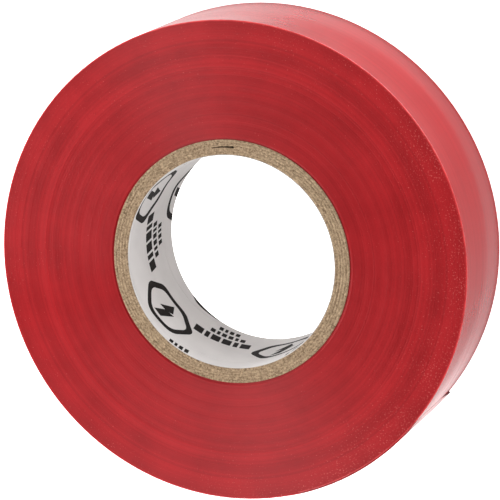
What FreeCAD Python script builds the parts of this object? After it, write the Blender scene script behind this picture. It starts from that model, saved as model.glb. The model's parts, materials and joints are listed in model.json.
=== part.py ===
"""A roll of vinyl electrical tape, lying flat on one side.

The tape is wound round a paperboard core, and its free end, the tail, peels off the outside of
the roll. The core is a stack of thin strips: a white printed liner and the kraft board plies,
each laid in a helix with a butt seam. Millimetres, +Z up along the roll's
axis, with the origin on that axis, in the plane of the face that the roll rests on.
"""

import FreeCAD, Part
import math
import os

Vec = FreeCAD.Vector
Z_AXIS = Vec(0, 0, 1)
ORIGIN = Vec(0, 0, 0)

# --- Driving dimensions -------------------------------------------------------------------------
TAPE_WIDTH = 19.05            # 3/4 inch tape
CORE_BORE_DIAMETER = 31.75    # 1 1/4 inch core
CORE_WIDTH = 18.95            # the core is cut a little narrower than the tape
LINER_THICKNESS = 0.15        # white printed paper, the innermost strip of the core
PLY_COUNT = 5                 # kraft board strips outside the liner
PLY_THICKNESS = 0.44
FILM_THICKNESS = 0.137        # the vinyl backing, as wound
ADHESIVE_THICKNESS = 0.026    # the adhesive coat, as wound
TURNS = 108                   # whole turns under the tail, about 18 m of tape
TAIL_LENGTH = 22.0            # free end, from the peel line to the cut end
TAIL_END_ANGLE = -37.7        # degrees, where the cut end lies, seen from above
TAIL_LIFT = 0.03              # the tail stands off the roll by this much
TAIL_ROOT_GAP = 0.05          # between the end of the wound turns and the tail's root

# --- Core seams ---------------------------------------------------------------------------------
STRIP_LEAD = 15.1             # every strip sinks this far in one anticlockwise turn
LINER_SEAM_WIDTH = 0.06       # along the axis
PLY_SEAM_WIDTH = 0.08
LINER_SEAM_ANGLE = 184.5      # degrees, where the liner's seam meets the upper end of the core
PLY_SEAM_ANGLES = [214.0, 31.0, 262.0, 158.0, 330.0]    # the same for each ply, from the liner out
SEAM_CUT_MARGIN = 0.05        # the seam's cutter passes the strip by this much on either side
SEAM_OVERRUN = 1.0            # and it starts and ends this far beyond the core's ends

# --- The slit, a split in the third ply that is open at the upper end of the core ----------------
SLIT_PLY = 3
SLIT_START, SLIT_END = 88.5, 99.8             # degrees
SLIT_START_WIDTH, SLIT_END_WIDTH = 0.32, 0.10
SLIT_DEPTH = 1.2

# --- Worked out from those ----------------------------------------------------------------------
BORE_RADIUS = CORE_BORE_DIAMETER / 2
CORE_BOTTOM = (TAPE_WIDTH - CORE_WIDTH) / 2
LINER_OUTER_RADIUS = BORE_RADIUS + LINER_THICKNESS
CORE_OUTER_RADIUS = LINER_OUTER_RADIUS + PLY_COUNT * PLY_THICKNESS
TAPE_THICKNESS = FILM_THICKNESS + ADHESIVE_THICKNESS
WOUND_RADIUS = CORE_OUTER_RADIUS + TURNS * TAPE_THICKNESS    # of the turn under the tail
TAIL_ADHESIVE_RADIUS = WOUND_RADIUS + TAIL_LIFT
TAIL_FILM_RADIUS = TAIL_ADHESIVE_RADIUS + ADHESIVE_THICKNESS
ROLL_RADIUS = TAIL_FILM_RADIUS + FILM_THICKNESS
TAIL_SPAN = math.degrees(TAIL_LENGTH / ROLL_RADIUS)
PEEL_ANGLE = TAIL_END_ANGLE - TAIL_SPAN
ROOT_ANGLE = PEEL_ANGLE + math.degrees(TAIL_ROOT_GAP / ROLL_RADIUS)


def on_circle(radius, degrees, centre_x=0.0):
    """The point at that angle on a circle round (centre_x, 0)."""
    turn = math.radians(degrees)
    return Vec(centre_x + radius * math.cos(turn), radius * math.sin(turn), 0)


def arc(radius, start, end, centre_x=0.0):
    """An arc edge from one angle to another, in degrees."""
    middle = (start + end) / 2
    points = [on_circle(radius, a, centre_x) for a in (start, middle, end)]
    return Part.Arc(*points).toShape()


def extruded(edges, height):
    """A solid of that height over the closed outline that the edges make."""
    face = Part.Face(Part.Wire(edges))
    return face.extrude(Vec(0, 0, height))


def arc_strip(inner_radius, thickness, start, end, height):
    """A curved strip of constant thickness between two angles round the axis."""
    outer_radius = inner_radius + thickness
    edges = [
        arc(inner_radius, start, end),
        Part.makeLine(on_circle(inner_radius, end), on_circle(outer_radius, end)),
        arc(outer_radius, end, start),
        Part.makeLine(on_circle(outer_radius, start), on_circle(inner_radius, start)),
    ]
    return extruded(edges, height)


def wound_tape():
    """The turns that stay wound. Their adhesive sticks them together, so they are one solid.

    Its outside is one turn of the spiral, as two half circles that meet with the same tangent.
    The turn grows anticlockwise by the tape's thickness, and that is the step at the peel line.
    """
    start, end = Vec(WOUND_RADIUS, 0, 0), Vec(WOUND_RADIUS + TAPE_THICKNESS, 0, 0)
    half = TAPE_THICKNESS / 2
    edges = [
        arc(WOUND_RADIUS, 0, 180),
        arc(WOUND_RADIUS + half, 180, 360, centre_x=half),
        Part.makeLine(end, start),
    ]
    turns = extruded(edges, TAPE_WIDTH)
    turns = turns.cut(Part.makeCylinder(CORE_OUTER_RADIUS, TAPE_WIDTH))
    turns.rotate(ORIGIN, Z_AXIS, PEEL_ANGLE)
    return turns


def tail_film():
    """The free end of the film, from the peel line to the cut end."""
    return arc_strip(TAIL_FILM_RADIUS, FILM_THICKNESS, ROOT_ANGLE, TAIL_END_ANGLE, TAPE_WIDTH)


def tail_adhesive():
    """The adhesive coat on the inside of the free end."""
    coat = ADHESIVE_THICKNESS
    return arc_strip(TAIL_ADHESIVE_RADIUS, coat, ROOT_ANGLE, TAIL_END_ANGLE, TAPE_WIDTH)


def helical_seam(inner_radius, outer_radius, seam_width, top_angle):
    """The gap between the two edges of a strip, a left-handed helix like the strip itself.

    top_angle is where the seam crosses the upper end of the core.
    """
    middle_radius = (inner_radius + outer_radius) / 2
    height = CORE_WIDTH + 2 * SEAM_OVERRUN
    path = Part.makeHelix(STRIP_LEAD, height, middle_radius)
    low, high = inner_radius - SEAM_CUT_MARGIN, outer_radius + SEAM_CUT_MARGIN
    corners = [
        Vec(low, 0, -seam_width / 2),
        Vec(high, 0, -seam_width / 2),
        Vec(high, 0, seam_width / 2),
        Vec(low, 0, seam_width / 2),
    ]
    profile = Part.makePolygon([*corners, corners[0]])
    cutter = Part.Wire(path).makePipeShell([profile], True, True)
    cutter = cutter.mirror(ORIGIN, Vec(0, 1, 0))
    cutter.translate(Vec(0, 0, CORE_BOTTOM - SEAM_OVERRUN))
    turned_at_top = -360 * (CORE_WIDTH + SEAM_OVERRUN) / STRIP_LEAD
    cutter.rotate(ORIGIN, Z_AXIS, top_angle - turned_at_top)
    return cutter


def core_strip(inner_radius, thickness, seam_width, seam_angle):
    """One strip of the core: a thin tube that is open along its helical butt seam."""
    outer_radius = inner_radius + thickness
    base = Vec(0, 0, CORE_BOTTOM)
    tube = Part.makeCylinder(outer_radius, CORE_WIDTH, base)
    tube = tube.cut(Part.makeCylinder(inner_radius, CORE_WIDTH, base))
    return tube.cut(helical_seam(inner_radius, outer_radius, seam_width, seam_angle))


def slit():
    """The slit's own shape: a shallow pocket that follows the ply and narrows along it."""
    middle_radius = LINER_OUTER_RADIUS + (SLIT_PLY - 0.5) * PLY_THICKNESS
    half_widths = [SLIT_START_WIDTH / 2, (SLIT_START_WIDTH + SLIT_END_WIDTH) / 4, SLIT_END_WIDTH / 2]
    angles = [SLIT_START, (SLIT_START + SLIT_END) / 2, SLIT_END]
    inner = [on_circle(middle_radius - w, a) for w, a in zip(half_widths, angles)]
    outer = [on_circle(middle_radius + w, a) for w, a in zip(half_widths, angles)]
    edges = [
        Part.Arc(*inner).toShape(),
        Part.makeLine(inner[-1], outer[-1]),
        Part.Arc(*reversed(outer)).toShape(),
        Part.makeLine(outer[0], inner[0]),
    ]
    pocket = extruded(edges, SLIT_DEPTH)
    pocket.translate(Vec(0, 0, CORE_BOTTOM + CORE_WIDTH - SLIT_DEPTH))
    return pocket


def core_plies():
    """The kraft board plies by name, from the one next to the liner outwards."""
    plies = {}
    for number, angle in enumerate(PLY_SEAM_ANGLES, start=1):
        inner_radius = LINER_OUTER_RADIUS + (number - 1) * PLY_THICKNESS
        ply = core_strip(inner_radius, PLY_THICKNESS, PLY_SEAM_WIDTH, angle)
        plies[f"core_ply_{number}"] = ply.cut(slit()) if number == SLIT_PLY else ply
    return plies


def main():
    nodes = {
        "core_liner": core_strip(BORE_RADIUS, LINER_THICKNESS, LINER_SEAM_WIDTH, LINER_SEAM_ANGLE),
        **core_plies(),
        "tape_winding": wound_tape(),
        "tape_tail_film": tail_film(),
        "tape_tail_adhesive": tail_adhesive(),
    }
    os.makedirs("parts", exist_ok=True)
    for name, shape in nodes.items():
        shape.exportStep(f"parts/{name}.step")
        solids = len(shape.Solids)
        print(f"{name}: valid {shape.isValid()}, solids {solids}, volume {shape.Volume:.2f} mm3")
    hinge = on_circle(ROLL_RADIUS, ROOT_ANGLE)
    tape_length = math.pi * TURNS * (CORE_OUTER_RADIUS + WOUND_RADIUS) + TAIL_LENGTH
    print(f"tail's hinge at x {hinge.x:.4f}, y {hinge.y:.4f}, angle {ROOT_ANGLE:.3f} degrees")
    print(f"roll diameter {2 * ROLL_RADIUS:.3f}, core outside {2 * CORE_OUTER_RADIUS:.3f}")
    print(f"tape length {tape_length / 1000:.2f} m")


main()
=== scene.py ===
"""Looks for the roll of red electrical tape: the wound turns, the tail, the printed paper core,
their materials, and a pale floor under soft studio light."""

import json
import math

import bmesh
import bpy
import numpy as np
from mathutils import Matrix, Vector


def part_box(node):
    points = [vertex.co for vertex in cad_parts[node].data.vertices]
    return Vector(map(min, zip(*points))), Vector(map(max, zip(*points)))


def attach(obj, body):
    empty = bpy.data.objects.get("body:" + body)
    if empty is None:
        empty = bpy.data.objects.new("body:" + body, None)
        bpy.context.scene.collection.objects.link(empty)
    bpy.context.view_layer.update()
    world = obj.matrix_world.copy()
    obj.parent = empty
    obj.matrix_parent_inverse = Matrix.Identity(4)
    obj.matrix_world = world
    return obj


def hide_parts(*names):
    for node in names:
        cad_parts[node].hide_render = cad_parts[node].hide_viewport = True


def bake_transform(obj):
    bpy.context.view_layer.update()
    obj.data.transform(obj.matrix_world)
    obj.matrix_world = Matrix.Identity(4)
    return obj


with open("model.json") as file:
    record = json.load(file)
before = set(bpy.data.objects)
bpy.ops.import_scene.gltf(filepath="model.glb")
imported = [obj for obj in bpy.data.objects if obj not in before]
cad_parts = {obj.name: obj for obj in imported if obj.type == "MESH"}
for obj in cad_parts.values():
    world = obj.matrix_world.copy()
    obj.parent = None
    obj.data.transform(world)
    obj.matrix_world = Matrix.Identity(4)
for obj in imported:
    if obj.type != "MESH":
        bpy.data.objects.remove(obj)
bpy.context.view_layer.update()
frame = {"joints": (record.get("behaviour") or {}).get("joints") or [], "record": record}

# --- Sizes, in metres -----------------------------------------------------------------------------
MM = 0.001
BORE = next(mount for mount in frame["record"]["mounts"] if mount["name"] == "bore")
PEEL = frame["joints"][0]
BORE_RADIUS = BORE["dims"]["r_mm"] * MM
LINER_THICKNESS = 0.15 * MM
PLY_COUNT = 5
PLY_THICKNESS = 0.44 * MM
LINER_OUTER = BORE_RADIUS + LINER_THICKNESS
CORE_OUTER = LINER_OUTER + PLY_COUNT * PLY_THICKNESS
CORE_LOW, CORE_TOP = (corner.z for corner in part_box("core_ply_1"))
TAPE_LOW, TAPE_TOP = (corner.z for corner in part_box("tape_winding"))
FILM_THICKNESS = 0.137 * MM
ADHESIVE_THICKNESS = 0.026 * MM
TAPE_THICKNESS = FILM_THICKNESS + ADHESIVE_THICKNESS
TURNS = 108
WOUND_RADIUS = CORE_OUTER + TURNS * TAPE_THICKNESS
TAIL_OUTER = math.hypot(PEEL["pos_m"][0], PEEL["pos_m"][1])
TAIL_LIFT = TAIL_OUTER - WOUND_RADIUS - TAPE_THICKNESS
TAIL_LENGTH = 22.0 * MM
TAIL_END_ANGLE = math.radians(-37.7)
PEEL_ANGLE = TAIL_END_ANGLE - TAIL_LENGTH / TAIL_OUTER
MIDDLE = Vector((0, 0, (TAPE_LOW + TAPE_TOP) / 2))

# --- The core's strips ----------------------------------------------------------------------------
STRIP_LEAD = 15.1 * MM        # every strip sinks this far in one anticlockwise turn
LINER_SEAM = 0.06 * MM
PLY_SEAM = 0.08 * MM
LINER_SEAM_ANGLE = math.radians(184.5)
PLY_SEAM_ANGLES = [math.radians(a) for a in (214.0, 31.0, 262.0, 158.0, 330.0)]

# --- The slit in the upper end of the third ply ---------------------------------------------------
SLIT_PLY = 3
SLIT_START, SLIT_END = math.radians(88.5), math.radians(99.8)
SLIT_START_WIDTH, SLIT_END_WIDTH = 0.32 * MM, 0.10 * MM
SLIT_DEPTH = 1.2 * MM


# --- Mesh helpers ---------------------------------------------------------------------------------
MERGE_DISTANCE = 1e-8
CUT_TOLERANCE = 1e-9
WAVES_PER_OCTAVE = 3
LEAST_RATE, MOST_RATE = 0.7, 1.3      # of a wave, times its octave's own rate


def new_mesh(name, points, faces, smooth=True):
    """A mesh object from an array of points and a list of faces, with doubled points merged."""
    mesh = bpy.data.meshes.new(name)
    mesh.from_pydata(np.asarray(points, float).tolist(), [], [list(map(int, f)) for f in faces])
    model = bmesh.new()
    model.from_mesh(mesh)
    bmesh.ops.remove_doubles(model, verts=model.verts, dist=MERGE_DISTANCE)
    bmesh.ops.dissolve_degenerate(model, edges=model.edges, dist=MERGE_DISTANCE)
    bmesh.ops.recalc_face_normals(model, faces=model.faces)
    model.to_mesh(mesh)
    model.free()
    mesh.polygons.foreach_set("use_smooth", [smooth] * len(mesh.polygons))
    thing = bpy.data.objects.new(name, mesh)
    bpy.context.scene.collection.objects.link(thing)
    return thing


def polar(radius, angle, height):
    """Points at those cylindrical coordinates."""
    return np.stack([radius * np.cos(angle), radius * np.sin(angle), height], axis=-1)


def grid_faces(rows, columns, closed_rows=False):
    """Quads between neighbours in a grid of points that is stored row by row."""
    last = rows if closed_rows else rows - 1
    r, c = np.meshgrid(np.arange(last), np.arange(columns - 1), indexing="ij")
    nxt = (r + 1) % rows
    quads = [r * columns + c, r * columns + c + 1, nxt * columns + c + 1, nxt * columns + c]
    return np.stack(quads, axis=-1).reshape(-1, 4).tolist()


def waves(position, seed, octaves=4):
    """Smooth noise along a line, from -1 to 1, as a sum of seeded sine waves."""
    draw = np.random.default_rng(seed)
    total = np.zeros_like(position)
    for octave in range(octaves):
        for _ in range(WAVES_PER_OCTAVE):
            rate = 2 ** octave * draw.uniform(LEAST_RATE, MOST_RATE)
            total += np.sin(2 * math.pi * (position * rate + draw.uniform())) / (octave + 1)
    return total / (WAVES_PER_OCTAVE * sum(1 / (octave + 1) for octave in range(octaves)))


def smoothstep(low, high, value):
    """0 at low and 1 at high, with a smooth rise between them. low may be the larger one."""
    part = np.clip((value - low) / (high - low), 0, 1)
    return part * part * (3 - 2 * part)


# --- The wound tape -------------------------------------------------------------------------------
PER_TURN = 144                # points in one turn of the tape
GROOVE_DEPTH = 0.006 * MM     # between the edges of neighbouring turns
EDGE_TILT = 0.014 * MM        # the outer side of each turn's edge stands higher than its inner side
SHOULDERS = 0.25, 0.75        # where the edge's two shoulders lie, from the inside of the turn
EDGE_WANDER = 0.026 * MM      # how far the turns' edges wander in and out of the roll's side
SLOW_DRIFT, QUICK_DRIFT = 0.75, 0.25         # shares of the edges' wander
SLOW_RATE, QUICK_RATE = 0.065, 0.5           # of those, per turn
INNER_DIP = 0.12 * MM         # how much lower the turns next to the core lie
DIP_START, DIP_END = 1.6, 2.8                # in turns, where that dip levels out
RIM_DROP = 0.11 * MM          # the rim's rounding starts this far down from the side
RIM_ROUND = 0.26 * MM         # and the tread is straight from this far down
RIM_SHOULDER = 0.4            # of RIM_DROP, how far the last turn's outer shoulder lies down
RIM_WIDTH = 0.16 * MM         # the part of the side next to the tread that gets the painted highlight
TREAD_DEPTH = 0.3 * TAPE_THICKNESS           # faces this near the outside are the tread
TREAD_ROWS = 22
TREAD_RIPPLE = 0.007 * MM
RIPPLES, FINE_RIPPLES = 21, 63               # round the roll
FINE_SHARE = 0.5                             # how deep the fine ripples are beside the others
RIPPLE_SLANT = 0.15                          # how fast the ripples shift across the tread, per mm
STEP_MARGIN = 0.06                           # of a turn: no ripples this near the step
TREAD_INSET = 0.006 * MM      # keeps the mesh within the CAD solid's faceted outline


def turn_radius(index):
    """The radius of the groove inside the tape at that point of the spiral.

    The tape starts half a turn in, with no thickness, so the roll's inside is a whole circle.
    """
    turns = index / PER_TURN - 1
    whole = np.floor(turns)
    part = turns - whole
    growth = np.where(part < 0.5, 0.0, (1 + np.cos(2 * math.pi * part)) / 2)
    return CORE_OUTER + TAPE_THICKNESS * np.maximum(whole + growth, 0)


def side_points(edge_z, inward, seed):
    """Grooves, inner shoulders and outer shoulders of the tape's edge on one side of the roll.

    inward is -1 on the upper side and 1 on the lower side, the way into the roll.
    """
    first, last = PER_TURN // 2, (TURNS + 1) * PER_TURN
    groove = np.arange(first, last + PER_TURN + 1)
    ribbon = np.arange(first, last + 1)
    angle = PEEL_ANGLE + 2 * math.pi * groove / PER_TURN
    in_turns = groove / PER_TURN
    drift = SLOW_DRIFT * waves(in_turns * SLOW_RATE, seed, 2)
    drift = drift + QUICK_DRIFT * waves(in_turns * QUICK_RATE, seed + 1, 2)
    sunk = EDGE_TILT + EDGE_WANDER * (1 + drift)
    sunk = sunk + INNER_DIP * (1 - smoothstep(DIP_START, DIP_END, in_turns))
    inner = turn_radius(groove)
    wide = turn_radius(ribbon + PER_TURN) - turn_radius(ribbon)
    count = len(ribbon)
    at_edge = sunk[:count]
    before = np.concatenate([sunk[:PER_TURN], sunk[:-PER_TURN]])
    groove_depth = np.maximum(sunk, before) + GROOVE_DEPTH
    groove_depth[[0, PER_TURN]] = sunk[0]
    rim = np.arange(len(groove)) >= len(groove) - PER_TURN - 1
    groove_depth[rim] = sunk[rim] + RIM_DROP
    inner[rim] -= TREAD_INSET
    grooves = polar(inner, angle, edge_z + inward * groove_depth)
    near, far = (inner[:count] + share * wide for share in SHOULDERS)
    low = polar(near, angle[:count], edge_z + inward * at_edge)
    last_turn = np.arange(count) >= count - PER_TURN - 1
    drop = np.where(last_turn, RIM_SHOULDER * RIM_DROP, 0)
    high_z = edge_z + inward * (at_edge - EDGE_TILT * wide / TAPE_THICKNESS + drop)
    high = polar(far, angle[:count], high_z)
    return grooves, low, high


def wound_tape():
    """The wound turns as one closed spiral: both sides show every turn, and the tread is smooth."""
    upper = side_points(TAPE_TOP, -1, seed=11)
    lower = side_points(TAPE_LOW, 1, seed=29)
    points, faces = [], []
    starts = []
    for grooves, low, high in (upper, lower):
        base = sum(len(p) for p in points)
        starts.append((base, base + len(grooves), base + len(grooves) + len(low)))
        points += [grooves, low, high]
        g, s1, s2 = starts[-1]
        i = np.arange(len(low) - 1)
        for a, b in ((g + i, s1 + i), (s1 + i, s2 + i), (s2 + i, g + PER_TURN + i)):
            faces += np.stack([a, b, b + 1, a + 1], axis=-1).tolist()

    count = len(upper[1])
    rim = np.arange(PER_TURN + 1)
    inner_upper, inner_lower = starts[0][0] + rim, starts[1][0] + rim
    for j in range(PER_TURN):
        quad = [inner_upper[j], inner_upper[j + 1], inner_lower[j + 1], inner_lower[j]]
        faces.append(quad)

    outer_index = (TURNS + 1) * PER_TURN + rim
    radius = turn_radius(outer_index) - TREAD_INSET
    angle = PEEL_ANGLE + 2 * math.pi * outer_index / PER_TURN
    steps = np.linspace(RIM_ROUND, TAPE_TOP - TAPE_LOW - RIM_ROUND, TREAD_ROWS)
    base = sum(len(p) for p in points)
    for depth in steps:
        along = (angle - PEEL_ANGLE) / (2 * math.pi)
        ripple = waves(along * RIPPLES + RIPPLE_SLANT * depth / MM, 5)
        ripple = ripple + FINE_SHARE * waves(along * FINE_RIPPLES, 8)
        away = smoothstep(0, STEP_MARGIN, along) * smoothstep(0, STEP_MARGIN, 1 - along)
        dip = TREAD_RIPPLE * (1 + FINE_SHARE + ripple) * away
        points.append(polar(radius - dip, angle, np.full_like(angle, TAPE_TOP - depth)))
    outer_upper = starts[0][0] + count - 1 + rim
    outer_lower = starts[1][0] + count - 1 + rim
    wall = [outer_upper]
    wall += [base + row * (PER_TURN + 1) + rim for row in range(TREAD_ROWS)]
    wall.append(outer_lower)
    for above, below in zip(wall, wall[1:]):
        stacked = [above[:-1], above[1:], below[1:], below[:-1]]
        faces += np.stack(stacked, axis=-1).tolist()

    step = [wall[row][0] for row in range(len(wall))]
    step += [starts[1][1] + count - 1, starts[1][2] + count - 1]
    step += [wall[row][-1] for row in reversed(range(len(wall)))]
    step += [starts[0][2] + count - 1, starts[0][1] + count - 1]
    faces.append(step)
    return new_mesh("wound_tape", np.concatenate(points), faces)


# --- The tail -------------------------------------------------------------------------------------
TAIL_COLUMNS, TAIL_ROWS = 56, 30
CORNER_LIFT = 0.25 * MM       # the lower corner of the cut end stands off the roll
CORNER_REACH = 2.2 * MM       # along the tail
CORNER_RISE = 5.0 * MM        # up from the roll's lower side
END_TAPER = 3.0 * MM          # the tape is drawn out thin over this length
END_THICKNESS = 0.12          # of the tape's, at the very end
TAIL_EDGE = 0.02 * MM         # the tail's edges stay this far inside the roll's sides
COLUMN_CROWDING = 1.6         # the columns crowd towards the cut end
ROW_CROWDING = 1.3            # and the rows towards the lower side
COAT_INSET = 0.02 * MM        # the adhesive's edges stay this far inside the film's


def tail_sheet(name, low, high, inset, fills_shaded_gap=False):
    """A closed curved sheet over the tail, between two heights over the roll, inset from its edges.

    A sheet that fills the gap stays on the roll under the lifted corner and reaches up to the
    lifted film, a dark sheet that stands in for the shade in that gap.
    """
    along = 1 - (1 - np.linspace(0, 1, TAIL_COLUMNS)) ** COLUMN_CROWDING
    up = np.linspace(0, 1, TAIL_ROWS) ** ROW_CROWDING
    end_angle = TAIL_END_ANGLE - inset / TAIL_OUTER
    angle = PEEL_ANGLE + along * (end_angle - PEEL_ANGLE)
    height = TAPE_LOW + TAIL_EDGE + inset + up * (TAPE_TOP - TAPE_LOW - 2 * (TAIL_EDGE + inset))
    angle, height = np.meshgrid(angle, height, indexing="ij")
    from_root = (angle - PEEL_ANGLE) * TAIL_OUTER
    from_end = TAIL_LENGTH - from_root
    bend = smoothstep(CORNER_REACH, 0, from_end) * smoothstep(CORNER_RISE, 0, height - TAPE_LOW)
    lift = CORNER_LIFT * bend
    thin = END_THICKNESS + (1 - END_THICKNESS) * smoothstep(0, END_TAPER, from_end)
    touching = TAIL_OUTER - TAPE_THICKNESS - TAIL_LIFT - TREAD_INSET
    faces = grid_faces(TAIL_COLUMNS, TAIL_ROWS)
    count = TAIL_COLUMNS * TAIL_ROWS
    faces += [[count + corner for corner in reversed(face)] for face in faces]
    edge = [column * TAIL_ROWS for column in range(TAIL_COLUMNS)]
    edge += [(TAIL_COLUMNS - 1) * TAIL_ROWS + row for row in range(1, TAIL_ROWS)]
    edge += [column * TAIL_ROWS + TAIL_ROWS - 1 for column in reversed(range(TAIL_COLUMNS - 1))]
    edge += reversed(range(1, TAIL_ROWS - 1))
    for a, b in zip(edge, edge[1:] + edge[:1]):
        faces.append([a, b, count + b, count + a])
    inner = touching + low * thin + (0 if fills_shaded_gap else lift)
    inner_points = polar(inner, angle, height).reshape(-1, 3)
    outer_points = polar(touching + high * thin + lift, angle, height).reshape(-1, 3)
    return new_mesh(name, np.concatenate([inner_points, outer_points]), faces)


# --- The core -------------------------------------------------------------------------------------
LEAST_HEIGHT = 0.01 * MM      # where a strip comes to a point
LINER_BEVEL = 0.03 * MM
PLY_BEVEL = 0.02 * MM
SLIT_RAGGED = 0.25            # how much the slit's width varies


def strip(name, inner, outer, seam_angle, seam_width, wall_rows, step, bevel, slit=False):
    """One strip of the core: a helix that is cut off flat at both ends of the core.

    Every column of points stands upright, and the strip's edges sink as the angle grows.
    The slit is a groove in the middle of the strip's upper end.
    """
    turn = 2 * math.pi
    start = (seam_width / 2 + LEAST_HEIGHT) / STRIP_LEAD * turn
    end = (CORE_TOP - CORE_LOW + STRIP_LEAD - seam_width / 2 - LEAST_HEIGHT) / STRIP_LEAD * turn
    columns = int(round(math.degrees(end - start) / step)) + 1
    swept = np.linspace(start, end, columns)
    angle = seam_angle + swept
    edge_top = CORE_TOP + STRIP_LEAD - STRIP_LEAD * swept / turn - seam_width / 2
    edge_low = edge_top - STRIP_LEAD + seam_width
    top = np.minimum(edge_top, CORE_TOP)
    low = np.maximum(edge_low, CORE_LOW)
    tall = top - low
    round_z = np.minimum(bevel, tall / 3)
    round_r = np.minimum(bevel, (outer - inner) / 3) * np.minimum(1, tall / bevel)
    rows = []
    for share in np.linspace(0, 1, wall_rows):
        rows.append((np.full(columns, inner), low + round_z + share * (tall - 2 * round_z)))
    rows.append((inner + round_r, top))
    if slit:
        middle = (inner + outer) / 2
        half, depth = slit_section(angle)
        half, depth = (np.where(edge_top > CORE_TOP, size, 0) for size in (half, depth))
        rows += [(middle - half, top), (middle - half, top - depth)]
        rows += [(middle + half, top - depth), (middle + half, top)]
    rows.append((outer - round_r, top))
    for share in np.linspace(1, 0, wall_rows):
        rows.append((np.full(columns, outer), low + round_z + share * (tall - 2 * round_z)))
    rows.append((outer - round_r, low))
    rows.append((inner + round_r, low))
    points = np.concatenate([polar(radius, angle, z) for radius, z in rows])
    faces = grid_faces(len(rows), columns, closed_rows=True)
    for column in (0, columns - 1):
        faces.append([row * columns + column for row in range(len(rows))])
    return new_mesh(name, points, faces)


def slit_section(angle):
    """Half the width and the depth of the slit at that angle."""
    turned = np.mod(angle, 2 * math.pi)
    inside = (turned > SLIT_START) & (turned < SLIT_END)
    half = np.interp(turned, [SLIT_START, SLIT_END], [SLIT_START_WIDTH / 2, SLIT_END_WIDTH / 2])
    half = half * (1 + SLIT_RAGGED * waves(turned * 18, 41, 2))
    return np.where(inside, half, 0), np.where(inside, SLIT_DEPTH, 0)


def core():
    """The liner and the kraft plies, each standing for its own CAD node."""
    liner = strip("printed_liner", BORE_RADIUS, LINER_OUTER, LINER_SEAM_ANGLE, LINER_SEAM,
                  wall_rows=40, step=1.0, bevel=LINER_BEVEL)
    plies = []
    for i in range(PLY_COUNT):
        inner = LINER_OUTER + i * PLY_THICKNESS
        ply = strip(f"kraft_ply_{i + 1}", inner, inner + PLY_THICKNESS, PLY_SEAM_ANGLES[i],
                    PLY_SEAM, wall_rows=6, step=0.5, bevel=PLY_BEVEL, slit=i + 1 == SLIT_PLY)
        plies.append(ply)
    return liner, plies


# --- Print on the liner ---------------------------------------------------------------------------
PRINT_PERIOD = math.radians(71.0)          # of angle, between one mark and the next in a row
PRINT_ROW = 15.45 * MM                     # between rows
PRINT_STAGGER = math.radians(10.8)         # each row starts this much further round
PRINT_SLOPE = math.atan(STRIP_LEAD / (2 * math.pi * BORE_RADIUS))
MARK_ANGLE, MARK_DEPTH = math.radians(218.0), 7.1 * MM
INK_THICKNESS = 0.006 * MM
INK_INSET = 0.002 * MM                     # the ink's back lies this far off the paper
INK_MARGIN = 0.05 * MM                     # between the ink and the core's ends
INK_STEP = 0.4 * MM                        # the print is cut this finely, to bend round the bore
INK_STEPS = range(-60, 80)                 # of those, over one unit of the print
PRINT_ROWS, PRINT_COLUMNS = range(-1, 2), range(-1, 4)
RING_RADIUS, RING_STROKE, RING_CORNER = 5.5 * MM, 1.15 * MM, 2.2 * MM
BOLT_HEIGHT = 6.0 * MM
HEAVY_GAP, LIGHT_GAP = 0.38 * MM, 0.32 * MM     # between the bars of a row


def regular_ring(radius, stroke, corner):
    """Quads of a six-sided ring with rounded corners, in the plane of the paper."""
    def outline(size):
        points = []
        for k in range(6):
            middle = math.radians(60 * k)
            reach = size - corner / math.cos(math.radians(30))
            for turn in range(-30, 31, 10):
                a = middle + math.radians(turn)
                x = reach * math.cos(middle) + corner * math.cos(a)
                points.append((x, reach * math.sin(middle) + corner * math.sin(a)))
        return points
    outer, inner = outline(radius), outline(radius - stroke)
    count = len(outer)
    return [[outer[i], outer[(i + 1) % count], inner[(i + 1) % count], inner[i]]
            for i in range(count)]


def bolt(height):
    """A lightning bolt, the common sign for electricity, as two slanted bars."""
    h = height / 2
    upper = [(0.10 * h, h), (0.62 * h, h), (0.06 * h, -0.02 * h), (-0.50 * h, -0.16 * h)]
    lower = [(0.50 * h, 0.16 * h), (-0.22 * h, -h), (-0.40 * h, -0.28 * h), (-0.06 * h, 0.02 * h)]
    return [upper, lower]


def bars(left, low, high, widths, gap):
    """A row of upright bars of those widths, from left to right."""
    shapes = []
    for width in widths:
        shapes.append([(left, low), (left + width, low), (left + width, high), (left, high)])
        left += width + gap
    return shapes


def print_shapes():
    """One unit of the print: a mark with a bolt, and three rows of plain bars beside it."""
    shapes = regular_ring(RING_RADIUS, RING_STROKE, RING_CORNER)
    shapes += bolt(BOLT_HEIGHT)
    heavy = [w * MM for w in (1.5, 0.7, 1.4, 1.4, 0.7, 1.5)]
    light = [w * MM for w in (0.75, 0.5, 0.75, 0.75, 0.5, 0.75)]
    small = [w * MM for w in (0.65, 0.65, 0.45, 0.65)]
    shapes += bars(5.9 * MM, -4.4 * MM, -2.0 * MM, heavy, HEAVY_GAP)
    shapes += bars(7.1 * MM, -6.6 * MM, -5.1 * MM, light, LIGHT_GAP)
    shapes += bars(8.3 * MM, -8.7 * MM, -7.3 * MM, small, LIGHT_GAP)
    return shapes


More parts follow.
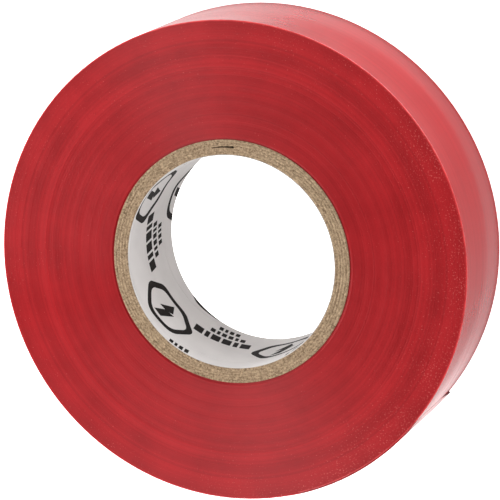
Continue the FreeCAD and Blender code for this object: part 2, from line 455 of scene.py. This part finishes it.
def print_marks():
    """The ink on the liner: thin closed films that follow its inner wall."""
    model = bmesh.new()
    for shape in print_shapes():
        model.faces.new([model.verts.new((x, y, 0)) for x, y in shape])
    for k in INK_STEPS:
        cut = model.verts[:] + model.edges[:] + model.faces[:]
        at = Vector((k * INK_STEP, 0, 0))
        bmesh.ops.bisect_plane(model, geom=cut, plane_co=at, plane_no=(1, 0, 0),
                               dist=CUT_TOLERANCE)
    mesh = bpy.data.meshes.new("print_unit")
    model.to_mesh(mesh)
    model.free()
    flat = np.array([v.co for v in mesh.vertices])
    polygons = [list(p.vertices) for p in mesh.polygons]
    bpy.data.meshes.remove(mesh)

    x = flat[:, 0] * math.cos(PRINT_SLOPE) - flat[:, 1] * math.sin(PRINT_SLOPE)
    y = flat[:, 1] * math.cos(PRINT_SLOPE) + flat[:, 0] * math.sin(PRINT_SLOPE)
    points, faces = [], []
    for row in PRINT_ROWS:
        for column in PRINT_COLUMNS:
            turned = row * PRINT_STAGGER + column * PRINT_PERIOD
            angle = MARK_ANGLE + turned - x / BORE_RADIUS
            sunk = MARK_DEPTH + row * PRINT_ROW + turned / (2 * math.pi) * STRIP_LEAD
            start = len(points) * len(flat)
            points.append(polar(BORE_RADIUS - INK_INSET, angle, CORE_TOP - sunk + y))
            faces += [[start + v for v in polygon] for polygon in polygons]
    ink = new_mesh("printed_marks", np.concatenate(points), faces, smooth=False)

    model = bmesh.new()
    model.from_mesh(ink.data)
    for height, way in ((CORE_TOP - INK_MARGIN, 1), (CORE_LOW + INK_MARGIN, -1)):
        cut = model.verts[:] + model.edges[:] + model.faces[:]
        bmesh.ops.bisect_plane(model, geom=cut, plane_co=(0, 0, height), plane_no=(0, 0, way),
                               dist=CUT_TOLERANCE, clear_outer=True)
    bmesh.ops.solidify(model, geom=model.faces[:], thickness=INK_THICKNESS)
    bmesh.ops.recalc_face_normals(model, faces=model.faces)
    model.to_mesh(ink.data)
    model.free()
    return ink


# --- Materials ------------------------------------------------------------------------------------
class Shader:
    """A node material under construction, with the object's own coordinates at hand."""

    def __init__(self, name):
        self.material = bpy.data.materials.new(name)
        self.material.use_nodes = True
        self.tree = self.material.node_tree
        self.tree.nodes.clear()
        self.output = self.node("ShaderNodeOutputMaterial")
        self.place = self.node("ShaderNodeTexCoord").outputs["Object"]
        split = self.node("ShaderNodeSeparateXYZ", {"Vector": self.place})
        self.x, self.y, self.z = split.outputs
        self.flat = self.node("ShaderNodeCombineXYZ", {"X": self.x, "Y": self.y}).outputs[0]
        length = self.node("ShaderNodeVectorMath", {0: self.flat}, operation="LENGTH")
        self.radius = length.outputs["Value"]
        self.angle = self.math("ARCTAN2", self.y, self.x)

    def node(self, kind, inputs=None, **settings):
        """A node whose inputs are linked to sockets or set to values."""
        made = self.tree.nodes.new(kind)
        for key, value in settings.items():
            setattr(made, key, value)
        for key, value in (inputs or {}).items():
            if isinstance(value, bpy.types.NodeSocket):
                self.tree.links.new(value, made.inputs[key])
            else:
                made.inputs[key].default_value = value
        return made

    def math(self, operation, a, b=0.0, c=0.0):
        return self.node("ShaderNodeMath", {0: a, 1: b, 2: c}, operation=operation).outputs[0]

    def mix(self, share, a, b):
        """Colour a where the share is 0 and colour b where it is 1."""
        made = self.node("ShaderNodeMix", data_type="RGBA")
        for key, value in {"Factor": share, "A": a, "B": b}.items():
            sockets = [s for s in made.inputs if s.name == key and s.enabled]
            if isinstance(value, bpy.types.NodeSocket):
                self.tree.links.new(value, sockets[0])
            else:
                sockets[0].default_value = value
        return [s for s in made.outputs if s.enabled][0]

    def ramp(self, value, low, high, to_low=0.0, to_high=1.0):
        """to_low up to low and to_high from high on, with a straight ramp between them."""
        inputs = {"Value": value, "From Min": low, "From Max": high}
        inputs |= {"To Min": to_low, "To Max": to_high}
        return self.node("ShaderNodeMapRange", inputs, clamp=True).outputs[0]

    def noise(self, scale, detail=3.0, roughness=0.5, vector=None, stretch=None):
        """Three-dimensional noise in features per millimetre, about 0.5."""
        vector = vector or self.place
        if stretch:
            vector = self.node("ShaderNodeVectorMath", {0: vector, 1: stretch},
                               operation="MULTIPLY").outputs[0]
        inputs = {"Vector": vector, "Scale": scale / MM, "Detail": detail, "Roughness": roughness}
        return self.node("ShaderNodeTexNoise", inputs).outputs["Fac"]

    def noise_along(self, line, detail=2.0):
        """One-dimensional noise along a value, about 0.5."""
        inputs = {"W": line, "Scale": 1.0, "Detail": detail, "Roughness": 0.6}
        return self.node("ShaderNodeTexNoise", inputs, noise_dimensions="1D").outputs["Fac"]

    def bump(self, height, distance, strength=1.0, normal=None):
        """A normal for relief of that height, in metres, on top of another normal if given."""
        inputs = {"Height": height, "Distance": distance, "Strength": strength}
        if normal:
            inputs["Normal"] = normal
        return self.node("ShaderNodeBump", inputs).outputs[0]

    def finish(self, **inputs):
        """The material, with those inputs on its Principled shader."""
        surface = self.node("ShaderNodeBsdfPrincipled", inputs)
        self.tree.links.new(surface.outputs[0], self.output.inputs[0])
        return self.material


VINYL_IOR = 1.53
DUST_ANGLE = math.radians(-15)      # the roll picked up most dust round this side


def vinyl_side():
    """The cut edges of the film, seen side by side on the roll's two sides."""
    s = Shader("vinyl_side")
    turn = s.math("DIVIDE", s.angle, 2 * math.pi)
    ring = s.math("SUBTRACT", s.math("DIVIDE", s.radius, TAPE_THICKNESS), turn)
    bands = s.noise_along(s.math("MULTIPLY", ring, 0.075), 2.0)
    lines = s.noise_along(s.math("MULTIPLY", ring, 0.45), 2.0)
    cloud = s.noise(0.16, 5.0, 0.6)
    shade = s.math("ADD", s.math("MULTIPLY", bands, 0.32), s.math("MULTIPLY", lines, 0.24))
    shade = s.math("ADD", shade, s.math("MULTIPLY", cloud, 0.44))
    deep, pale = (0.340, 0.0092, 0.0126, 1), (0.492, 0.0150, 0.0198, 1)
    colour = s.mix(s.ramp(shade, 0.36, 0.64), deep, pale)
    near = s.ramp(s.radius, 0.52 * WOUND_RADIUS, 0.78 * WOUND_RADIUS, 0.14, 0.0)
    colour = s.mix(near, colour, (0.12, 0.006, 0.009, 1))
    speck = s.noise(4.1, 2.0, 0.6)
    sparse = s.noise(0.12, 2.0)
    facing = s.math("COSINE", s.math("SUBTRACT", s.angle, DUST_ANGLE))
    reach = s.ramp(s.radius, 0.72 * WOUND_RADIUS, 0.98 * WOUND_RADIUS)
    outer = s.math("MULTIPLY", reach, s.ramp(facing, -0.3, 0.7, 0.030, 0.098))
    limit = s.math("SUBTRACT", s.math("SUBTRACT", 0.78, outer), s.math("MULTIPLY", sparse, 0.15))
    dust = s.ramp(s.math("SUBTRACT", speck, limit), 0.0, 0.05)
    colour = s.mix(s.math("MULTIPLY", dust, 0.6), colour, (0.70, 0.15, 0.14, 1))
    pit = s.ramp(s.noise(2.7, 2.0, 0.6, stretch=(-1, 1, 1)), 0.66, 0.74, 0.0, 0.35)
    colour = s.mix(pit, colour, (0.20, 0.006, 0.009, 1))
    rough = s.math("ADD", 0.34, s.math("MULTIPLY", shade, 0.12))
    normal = s.bump(s.noise(2.6, 2.0), 0.004 * MM, 0.6)
    around = s.node("ShaderNodeTangent", direction_type="RADIAL", axis="Z").outputs[0]
    return s.finish(**{"Base Color": colour, "Roughness": rough, "Anisotropic": 0.8,
                       "Anisotropic Rotation": 0.25, "Tangent": around, "Normal": normal,
                       "IOR": VINYL_IOR, "Specular IOR Level": 0.23})


def vinyl_face(name):
    """The smooth back of the film, on the tread and on the tail."""
    s = Shader(name)
    along = s.math("MULTIPLY", s.angle, WOUND_RADIUS)
    unrolled = s.node("ShaderNodeCombineXYZ", {"X": along, "Y": s.z}).outputs[0]
    drawn = s.noise(1.0, 4.0, 0.6, vector=unrolled, stretch=(0.025, 0.85, 1))
    across = s.noise(1.0, 3.0, 0.6, vector=unrolled, stretch=(1.6, 0.05, 1))
    cloud = s.noise(0.10, 4.0)
    mixed = s.math("ADD", s.math("MULTIPLY", drawn, 0.7), s.math("MULTIPLY", cloud, 0.3))
    deep, pale = (0.400, 0.0132, 0.0172, 1), (0.498, 0.0170, 0.0217, 1)
    colour = s.mix(s.ramp(mixed, 0.36, 0.62), deep, pale)
    rough = s.ramp(mixed, 0.35, 0.65, 0.13, 0.20)
    fine = s.noise(1.5, 3.0)
    normal = s.bump(fine, 0.0015 * MM, 0.4)
    normal = s.bump(across, 0.0020 * MM, 0.5, normal)
    normal = s.bump(drawn, 0.0140 * MM, 0.8, normal)
    return s.finish(**{"Base Color": colour, "Roughness": rough, "Normal": normal, "IOR": VINYL_IOR,
                       "Specular IOR Level": 0.43})


def vinyl_rim_highlight():
    """The outermost turn's cut edge and corner, with a painted highlight: a bright, pale red base
    colour along the rim.
    """
    s = Shader("vinyl_rim_highlight")
    along = s.math("MULTIPLY", s.angle, WOUND_RADIUS)
    unrolled = s.node("ShaderNodeCombineXYZ", {"X": along}).outputs[0]
    # noise that breaks the painted highlight into brighter and duller streaks along the rim
    wear_and_rim_highlight = s.noise(1.0, 4.0, 0.6, vector=unrolled, stretch=(0.4, 1, 1))
    colour = s.mix(s.ramp(wear_and_rim_highlight, 0.40, 0.66), (0.860, 0.062, 0.066, 1), (0.560, 0.028, 0.032, 1))
    normal = s.bump(s.noise(2.0, 3.0), 0.004 * MM, 0.5)
    return s.finish(**{"Base Color": colour, "Roughness": 0.32, "Normal": normal, "IOR": VINYL_IOR,
                       "Specular IOR Level": 0.40})


def tacky_adhesive():
    """The rubber adhesive on the inside of the tail: dark, glossy and a little lumpy. Under the
    lifted corner it fills the gap down to the roll, as painted shade.
    """
    s = Shader("tacky_adhesive")
    lumps = s.noise(0.8, 3.0)
    colour = s.mix(s.ramp(lumps, 0.3, 0.7), (0.045, 0.010, 0.011, 1), (0.085, 0.016, 0.017, 1))
    normal = s.bump(lumps, 0.02 * MM, 0.5)
    rough = s.ramp(lumps, 0.3, 0.7, 0.22, 0.38)
    return s.finish(**{"Base Color": colour, "Roughness": rough, "Normal": normal})


GRAIN_SHIFT, LAYER_SHIFT = 7 * MM, 9 * MM      # between the patterns of one ply and the next


def kraft_board(name, seed):
    """Unbleached board: pale and dark fibres, streaks along its layers, and painted shade that
    turns it near black further in from the core's ends, down its seams and its slit.
    """
    s = Shader(name)
    shift = {0: s.place, 1: (seed * GRAIN_SHIFT, 0, 0)}
    at = s.node("ShaderNodeVectorMath", shift, operation="ADD").outputs[0]
    fibre = s.noise(3.4, 3.0, 0.65, vector=at)
    speck = s.noise(1.6, 4.0, 0.7, vector=at, stretch=(1, 1, 0.35))
    patch = s.noise(0.22, 3.0, vector=at)
    arc = s.math("MULTIPLY_ADD", s.angle, CORE_OUTER, seed * LAYER_SHIFT)
    unrolled = s.node("ShaderNodeCombineXYZ", {"X": arc, "Y": s.radius, "Z": s.z}).outputs[0]
    layer = s.noise(1.0, 3.0, 0.6, vector=unrolled, stretch=(0.30, 4.5, 0.5))
    colour = s.mix(s.ramp(fibre, 0.30, 0.70), (0.120, 0.071, 0.036, 1), (0.650, 0.470, 0.302, 1))
    colour = s.mix(s.ramp(speck, 0.57, 0.70, 0.0, 0.7), colour, (0.130, 0.075, 0.038, 1))
    colour = s.mix(s.ramp(layer, 0.60, 0.68, 0.0, 0.5), colour, (0.150, 0.085, 0.042, 1))
    colour = s.mix(s.ramp(patch, 0.35, 0.65, 0.0, 0.25), colour, (0.440, 0.310, 0.190, 1))
    # painted shade: near black from 0.1 mm to 0.6 mm in from the core's ends, where the seams and
    # the slit would lie in shadow
    depth = s.math("MINIMUM", s.math("SUBTRACT", CORE_TOP, s.z), s.math("SUBTRACT", s.z, CORE_LOW))
    colour = s.mix(s.ramp(depth, 0.1 * MM, 0.6 * MM), colour, (0.020, 0.012, 0.008, 1))
    normal = s.bump(s.math("ADD", fibre, speck), 0.05 * MM, 0.7)
    return s.finish(**{"Base Color": colour, "Roughness": 0.92, "Normal": normal,
                       "Specular IOR Level": 0.25})


def liner_paper():
    """White coated paper, a little mottled."""
    s = Shader("liner_paper")
    cloud = s.noise(0.25, 4.0)
    grain = s.noise(2.4, 3.0)
    colour = s.mix(s.ramp(cloud, 0.3, 0.7), (0.655, 0.620, 0.608, 1), (0.715, 0.680, 0.665, 1))
    colour = s.mix(s.ramp(grain, 0.55, 0.75, 0.0, 0.12), colour, (0.60, 0.56, 0.54, 1))
    normal = s.bump(grain, 0.01 * MM, 0.4)
    return s.finish(**{"Base Color": colour, "Roughness": 0.55, "Normal": normal})


def black_ink():
    """Printed ink: near black, thin over the paper's grain in places."""
    s = Shader("black_ink")
    wear = s.noise(2.2, 3.0, 0.6)
    full, wear_and_rim_highlight = (0.010, 0.006, 0.005, 1), (0.036, 0.028, 0.026, 1)
    colour = s.mix(s.ramp(wear, 0.55, 0.75, 0.0, 0.35), full, wear_and_rim_highlight)
    return s.finish(**{"Base Color": colour, "Roughness": 0.6, "Specular IOR Level": 0.05})


def paint(thing, material):
    """Gives a mesh one material over all of it."""
    thing.data.materials.clear()
    thing.data.materials.append(material)


def paint_roll(roll):
    """The roll's sides, its tread and its two rims have their own materials; the rims' material is
    a painted highlight.
    """
    roll.data.materials.clear()
    for material in (vinyl_side(), vinyl_face("vinyl_tread"), vinyl_rim_highlight()):
        roll.data.materials.append(material)
    centres = np.zeros(len(roll.data.polygons) * 3)
    roll.data.polygons.foreach_get("center", centres)
    x, y, z = centres.reshape(-1, 3).T
    part = np.mod(np.arctan2(y, x) - PEEL_ANGLE, 2 * math.pi) / (2 * math.pi)
    inward = turn_radius((TURNS + 1 + part) * PER_TURN) - np.hypot(x, y)
    from_side = np.minimum(TAPE_TOP - z, z - TAPE_LOW)
    tread = (inward < TREAD_DEPTH) & (from_side > RIM_ROUND)
    # the faces next to the tread get the painted highlight
    rim = (inward < RIM_WIDTH) & ~tread
    roll.data.polygons.foreach_set("material_index", (tread + 2 * rim).astype(int).tolist())


# --- The camera, the floor and the lights ---------------------------------------------------------
VIEW_AZIMUTH = math.radians(18.23)         # round the roll's +Y, from its upper side towards +X
VIEW_ELEVATION = math.radians(12.16)       # from there towards +Y
VIEW_DISTANCE = 512.6 * MM
AIM_LEFT, AIM_LOW = 0.108 * MM, 0.114 * MM
LENS = 247.3                               # on a sensor 36 mm wide
FLOOR_SIZE = 3.0
WHITE = 1.2                                # what the camera sees of the floor and of the sky


def view_axes():
    """The camera's right, up and backward directions."""
    back = Vector((math.sin(VIEW_AZIMUTH) * math.cos(VIEW_ELEVATION), math.sin(VIEW_ELEVATION),
                   math.cos(VIEW_AZIMUTH) * math.cos(VIEW_ELEVATION)))
    right = Vector((0, 1, 0)).cross(back).normalized()
    return right, back.cross(right), back


def camera():
    """Looks at the roll's upper side, from the side of +X and +Y."""
    right, up, back = view_axes()
    lens = bpy.data.cameras.new("camera")
    lens.lens = LENS
    lens.sensor_width = 36
    lens.clip_start, lens.clip_end = 0.01, 20
    eye = bpy.data.objects.new("camera", lens)
    place = MIDDLE + VIEW_DISTANCE * back - AIM_LEFT * right - AIM_LOW * up
    eye.matrix_world = Matrix.Translation(place) @ Matrix((right, up, back)).transposed().to_4x4()
    bpy.context.scene.collection.objects.link(eye)
    bpy.context.scene.camera = eye


def window(s, value, low, high, soft):
    """1 between low and high, falling smoothly to 0 over soft on either side."""
    rise = s.node("ShaderNodeMapRange", {"Value": value, "From Min": low - soft, "From Max": low},
                  interpolation_type="SMOOTHSTEP").outputs[0]
    fall = s.node("ShaderNodeMapRange", {"Value": value, "From Min": high + soft, "From Max": high},
                  interpolation_type="SMOOTHSTEP").outputs[0]
    return s.math("MULTIPLY", rise, fall)


def floor():
    """A white backdrop. It looks evenly lit, and it throws more light where GLOWS says."""
    half = FLOOR_SIZE / 2
    corners = [(-half, -half, 0), (half, -half, 0), (half, half, 0), (-half, half, 0)]
    ground = new_mesh("floor", corners, [(0, 1, 2, 3)], smooth=False)
    s = Shader("white_floor")
    total = 0.0
    for near, far, middle, reach, strength in GLOWS:
        middle, reach = math.radians(middle), math.radians(reach)
        from_middle = s.node("ShaderNodeVectorRotate", {"Vector": s.flat, "Angle": -middle},
                             rotation_type="Z_AXIS").outputs[0]
        split = s.node("ShaderNodeSeparateXYZ", {"Vector": from_middle})
        turned = s.math("ABSOLUTE", s.math("ARCTAN2", split.outputs[1], split.outputs[0]))
        around = window(s, turned, -1.0, reach, SOFT_ANGLE)
        ring = window(s, s.radius, near * MM, far * MM, SOFT_EDGE)
        total = s.math("MULTIPLY_ADD", s.math("MULTIPLY", around, ring), strength, total)
    seen = s.node("ShaderNodeLightPath").outputs["Is Camera Ray"]
    glow = s.math("ADD", s.math("MULTIPLY", seen, WHITE), total)
    paint(ground, s.finish(**{"Base Color": (0.86, 0.86, 0.86, 1), "Roughness": 0.9,
                              "Specular IOR Level": 0.2, "Emission Color": (1, 1, 1, 1),
                              "Emission Strength": glow}))


def area_light(name, azimuth, elevation, width, height, power):
    """A soft light at that azimuth and elevation from the roll, upright and aimed at it."""
    lamp = bpy.data.lights.new(name, "AREA")
    lamp.shape = "RECTANGLE"
    lamp.size, lamp.size_y = width, height
    lamp.energy = power
    thing = bpy.data.objects.new(name, lamp)
    azimuth, elevation = math.radians(azimuth), math.radians(elevation)
    away = Vector(polar(math.cos(elevation), azimuth, math.sin(elevation)))
    side = Vector((-math.sin(azimuth), math.cos(azimuth), 0))
    turned = Matrix((side, away.cross(side), away)).transposed().to_4x4()
    thing.matrix_world = Matrix.Translation(MIDDLE + LIGHT_DISTANCE * away) @ turned
    bpy.context.scene.collection.objects.link(thing)


# near and far radius in mm, azimuth of the middle, half the width in degrees, strength
GLOWS = [
    (0.0, 32.5, 0, 180, 0.68),
    (36.4, 37.7, 25, 100, 0.30),
    (36.4, 37.7, 300, 18, 0.40),
    (38.3, 40.2, 120, 18, 0.52),
    (41.0, 43.5, 300, 18, 1.7),
    (44.5, 51.5, 60, 18, 4.2),
    (52.5, 5000.0, 0, 180, 0.41),
]
SOFT_ANGLE, SOFT_EDGE = math.radians(25), 0.4 * MM     # a glow fades out over these
SKY = 0.04
LIGHT_DISTANCE = 0.9
# azimuth and elevation in degrees, width and height in metres, power in watts
LIGHTS = {
    "right": (0, 15, 0.55, 0.55, 2.6),
    "upper_right": (45, 15, 0.55, 0.55, 3.3),
    "upper": (90, 15, 0.55, 0.55, 1.7),
    "upper_left": (135, 15, 0.55, 0.55, 1.5),
    "left": (180, 15, 0.55, 0.55, 6.9),
    "lower_left": (225, 15, 0.55, 0.55, 4.4),
    "lower": (270, 15, 0.55, 0.55, 2.1),
    "lower_fill": (270, 40, 0.55, 0.55, 1.3),
    "high_left": (150, 55, 0.22, 0.22, 1.15),
    "high_lower": (240, 55, 0.22, 0.22, 1.25),
    "rim": (120, 0, 0.60, 0.048, 0.36),
}


def studio():
    """Soft lights low around the roll, and a faint sky that looks white."""
    world = bpy.data.worlds.new("studio")
    bpy.context.scene.world = world
    world.use_nodes = True
    sky = world.node_tree.nodes["Background"]
    sky.inputs["Color"].default_value = (1, 1, 1, 1)
    path = world.node_tree.nodes.new("ShaderNodeLightPath")
    reach = world.node_tree.nodes.new("ShaderNodeMapRange")
    reach.inputs["To Min"].default_value, reach.inputs["To Max"].default_value = SKY, WHITE
    world.node_tree.links.new(path.outputs["Is Camera Ray"], reach.inputs["Value"])
    world.node_tree.links.new(reach.outputs[0], sky.inputs["Strength"])
    for name, settings in LIGHTS.items():
        area_light(name, *settings)
    bpy.context.scene.view_settings.view_transform = "Standard"


# --- Putting it together --------------------------------------------------------------------------
def place(thing, body, node, slot):
    """The piece rides on its body and stands for its CAD node."""
    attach(thing, body)
    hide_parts(node)


camera()
floor()
studio()

wound = wound_tape()
paint_roll(wound)
place(wound, "roll", "tape_winding", "vinyl_film")

liner, plies = core()
paint(liner, liner_paper())
place(liner, "roll", "core_liner", "liner_paper")
for number, ply in enumerate(plies, start=1):
    paint(ply, kraft_board(f"kraft_board_{number}", number))
    place(ply, "roll", f"core_ply_{number}", "kraft_board")

marks = print_marks()
paint(marks, black_ink())
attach(marks, "roll")

film = tail_sheet("tail_film", ADHESIVE_THICKNESS, TAPE_THICKNESS, 0.0)
paint(film, vinyl_face("vinyl_tail"))
# under the lifted corner this dark adhesive fills the gap to the roll, as painted shade
coat = tail_sheet("tail_adhesive", 0.0, ADHESIVE_THICKNESS, COAT_INSET, fills_shaded_gap=True)
paint(coat, tacky_adhesive())
tail = [(film, "tape_tail_film", "vinyl_film"), (coat, "tape_tail_adhesive", "adhesive")]
for piece, node, slot in tail:
    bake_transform(piece)
    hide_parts(node)
